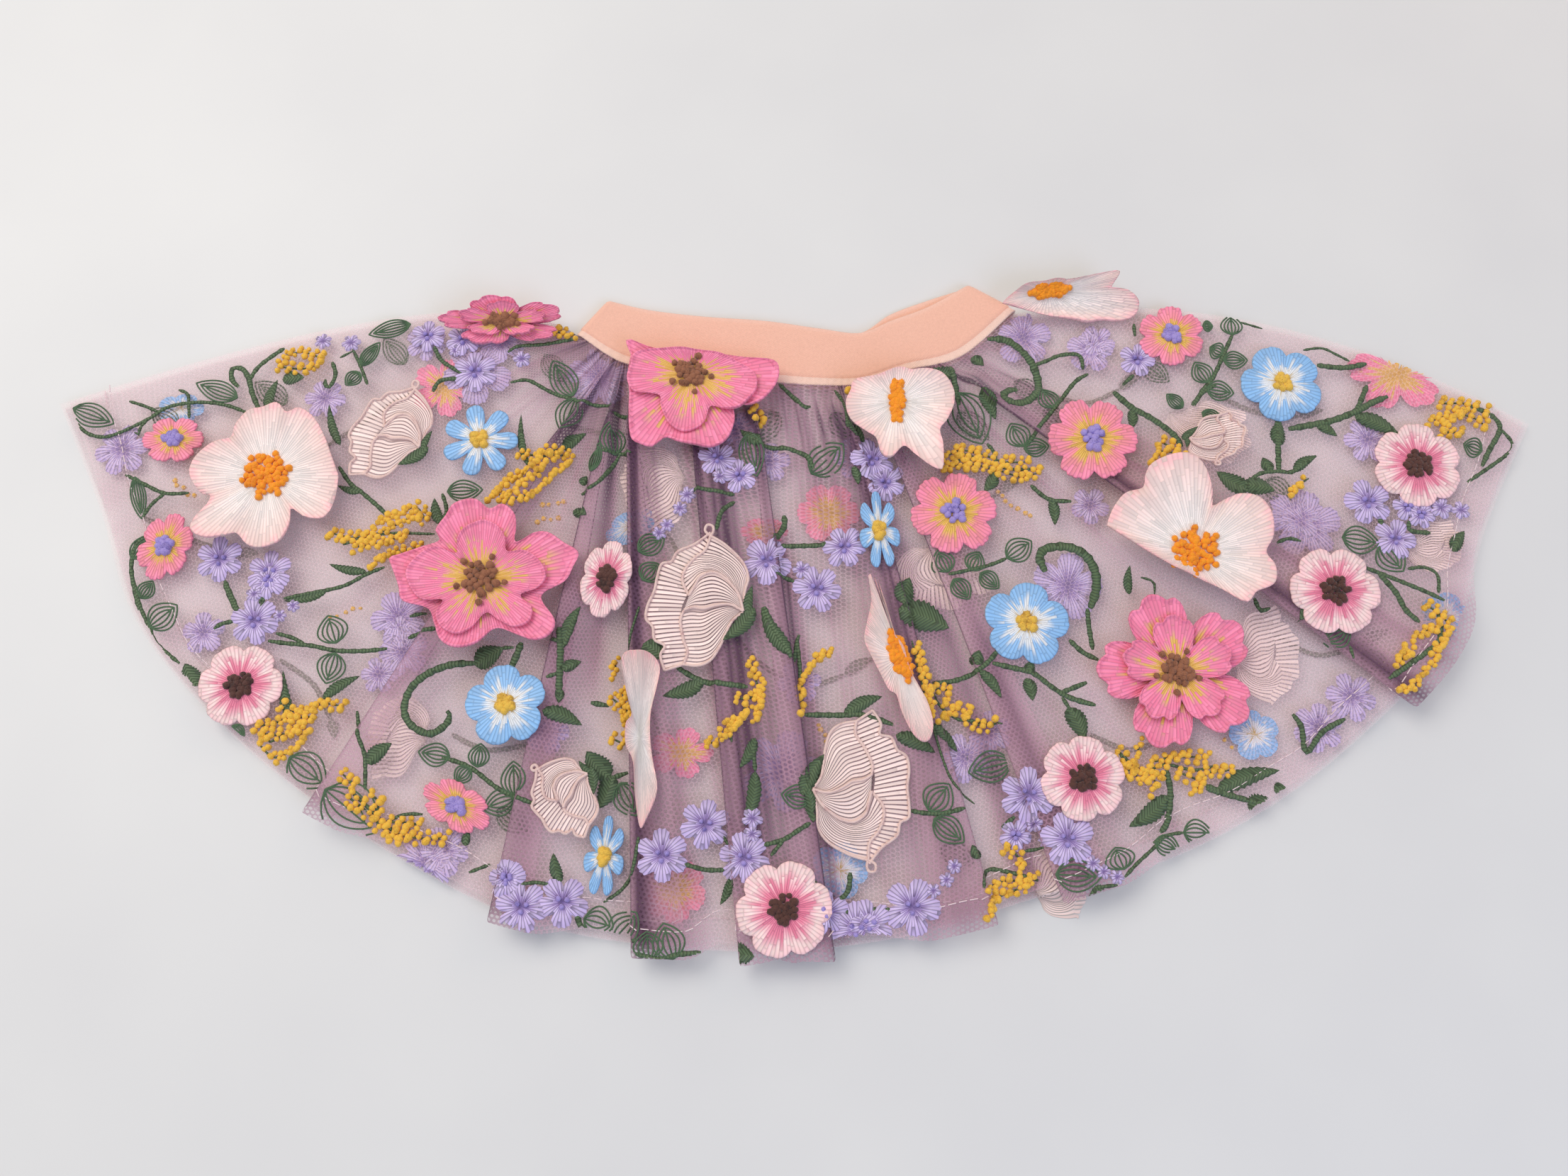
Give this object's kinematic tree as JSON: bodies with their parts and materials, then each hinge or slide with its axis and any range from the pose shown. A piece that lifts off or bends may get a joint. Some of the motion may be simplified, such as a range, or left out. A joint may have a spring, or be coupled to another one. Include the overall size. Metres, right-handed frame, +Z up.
{
  "type": "tutu skirt",
  "caption": "Child's tutu skirt laid flat: soft elastic waistband, gathered flower-embroidered net over a plain net lining, with loose stitched blossoms.",
  "frame": {"origin": "middle of the outline in plan, on the surface that the skirt lies on", "axes": "+X along the hem's span, from the skirt's left side edge in the view to its right; +Y from the hem to the waistband; +Z up off the surface"},
  "size_m": [0.6088, 0.2819, 0.025],
  "materials": {
    "elastic": "soft brushed knitted elastic, peach",
    "net": "lilac hexagonal nylon net with thread embroidery",
    "lining": "fine plain nylon net, milky lilac",
    "rose_stitch": "satin-stitched rayon thread, pink with yellow rays and brown knots",
    "white_stitch": "satin-stitched rayon thread, pale blush with orange knots",
    "bell_stitch": "open ladder-stitched rayon thread, pale rose with green calyx",
    "anemone_stitch": "satin-stitched rayon thread, pale pink with dark knots",
    "aster_stitch": "satin-stitched rayon thread, pink and yellow with lilac knots",
    "blue_stitch": "satin-stitched rayon thread, light blue and white with yellow knots"
  },
  "bodies": {
    "root": {"waistband": "elastic", "net_front": "net", "net_back": "net", "lining_front": "lining", "lining_back": "lining", "rose_1": "rose_stitch", "rose_2": "rose_stitch", "rose_3": "rose_stitch", "rose_4": "rose_stitch", "white_1": "white_stitch", "white_2": "white_stitch", "white_3": "white_stitch", "white_4": "white_stitch", "white_5": "white_stitch", "white_6": "white_stitch", "bell_1": "bell_stitch", "bell_2": "bell_stitch", "bell_3": "bell_stitch", "bell_4": "bell_stitch", "bell_5": "bell_stitch", "anemone_1": "anemone_stitch", "anemone_2": "anemone_stitch", "anemone_3": "anemone_stitch", "anemone_4": "anemone_stitch", "anemone_5": "anemone_stitch", "anemone_6": "anemone_stitch", "aster_1": "aster_stitch", "aster_2": "aster_stitch", "aster_3": "aster_stitch", "aster_4": "aster_stitch", "aster_5": "aster_stitch", "aster_6": "aster_stitch", "blue_1": "blue_stitch", "blue_2": "blue_stitch", "blue_3": "blue_stitch", "blue_4": "blue_stitch", "blue_5": "blue_stitch", "blue_6": "blue_stitch"}
  },
  "joints": []
}
